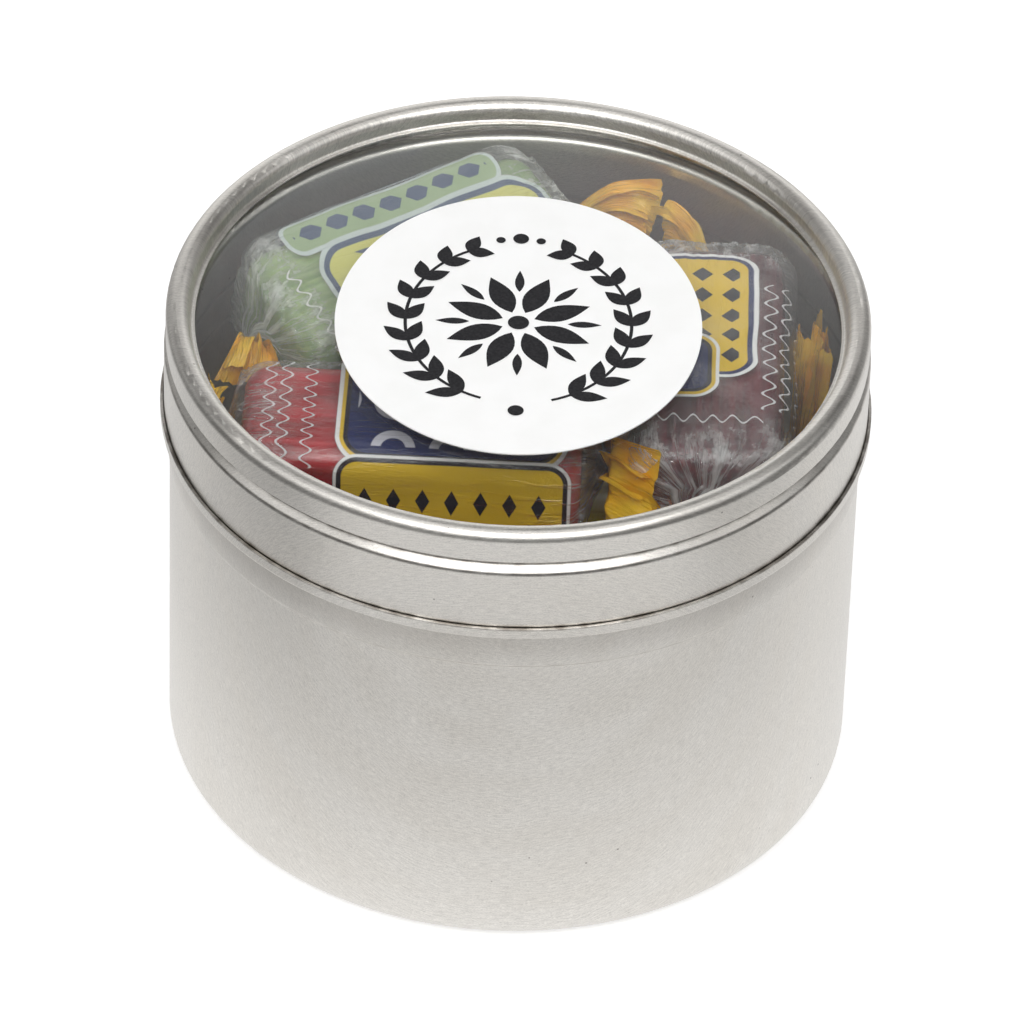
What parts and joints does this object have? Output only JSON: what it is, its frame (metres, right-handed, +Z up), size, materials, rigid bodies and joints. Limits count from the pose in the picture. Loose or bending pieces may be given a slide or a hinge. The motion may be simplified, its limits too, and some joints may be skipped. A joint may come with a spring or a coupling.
{
  "type": "window lid tin",
  "caption": "Round tinplate tin with a slip-on lid; the lid's pressed ring holds a clear window with an oval paper label, and twist-wrapped hard sweets fill the tin",
  "frame": {"origin": "centre of the base, on the plane that the tin stands on", "axes": "+Z up along the tin's axis, +X to the right and +Y to the back as the picture sees it; the label's long axis is along Y"},
  "size_m": [0.067, 0.067, 0.0502],
  "materials": {
    "tinplate": "bright tinplate with a fine satin grain",
    "clear_window": "clear moulded plastic, a little hazy",
    "label_paper": "uncoated white paper with a printed ornament in black",
    "wrapper_film": "clear twist film with coloured print and yellow ends",
    "candy_red": "glassy boiled sugar",
    "candy_lime": "glassy boiled sugar",
    "candy_purple": "glassy boiled sugar",
    "candy_amber": "glassy boiled sugar",
    "candy_orange": "glassy boiled sugar",
    "candy_lemon": "glassy boiled sugar"
  },
  "bodies": {
    "tin": {"tin_body": "tinplate"},
    "sweets": {"lime_bottom_candy": "candy_lime", "lime_bottom_wrapper": "wrapper_film", "cherry_bottom_candy": "candy_red", "cherry_bottom_wrapper": "wrapper_film", "grape_bottom_candy": "candy_purple", "grape_bottom_wrapper": "wrapper_film", "amber_bottom_candy": "candy_amber", "amber_bottom_wrapper": "wrapper_film", "orange_middle_candy": "candy_orange", "orange_middle_wrapper": "wrapper_film", "lemon_middle_candy": "candy_lemon", "lemon_middle_wrapper": "wrapper_film", "honey_middle_candy": "candy_amber", "honey_middle_wrapper": "wrapper_film", "berry_middle_candy": "candy_red", "berry_middle_wrapper": "wrapper_film", "red_top_candy": "candy_red", "red_top_wrapper": "wrapper_film", "green_top_candy": "candy_lime", "green_top_wrapper": "wrapper_film", "purple_top_candy": "candy_purple", "purple_top_wrapper": "wrapper_film"},
    "lid": {"lid_ring": "tinplate", "lid_window": "clear_window", "lid_label": "label_paper"}
  },
  "joints": [
    {"name": "contents_lift", "type": "slide", "parent": "tin", "child": "sweets", "axis": [0, 0, 1], "range_m": [0, 0.06]},
    {"name": "lid_lift", "type": "slide", "parent": "sweets", "child": "lid", "axis": [0, 0, 1], "range_m": [0, 0.05]}
  ]
}
